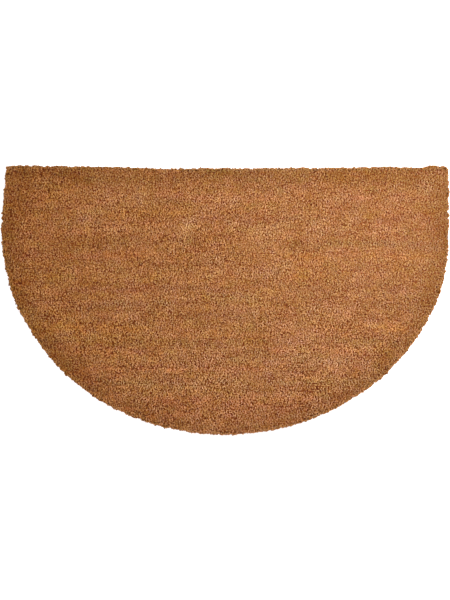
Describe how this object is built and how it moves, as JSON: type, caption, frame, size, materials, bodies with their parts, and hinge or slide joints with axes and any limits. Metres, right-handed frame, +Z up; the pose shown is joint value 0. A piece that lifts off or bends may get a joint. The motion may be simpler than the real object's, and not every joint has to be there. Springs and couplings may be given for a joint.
{
  "type": "half round coir doormat",
  "caption": "Half round doormat of stiff coir bristles with one straight edge, lying flat on the ground for wiping shoes.",
  "frame": {"origin": "on the underside, in the middle of the mat's bounding box", "axes": "+X along the straight edge, +Y from the round edge to the straight edge, +Z up through the bristles"},
  "size_m": [0.7499, 0.45, 0.015],
  "materials": {
    "coir": "matte cut bristles of natural coconut fibre, tan to rust with darker gaps"
  },
  "bodies": {
    "root": {"coir_mat": "coir"}
  },
  "joints": []
}
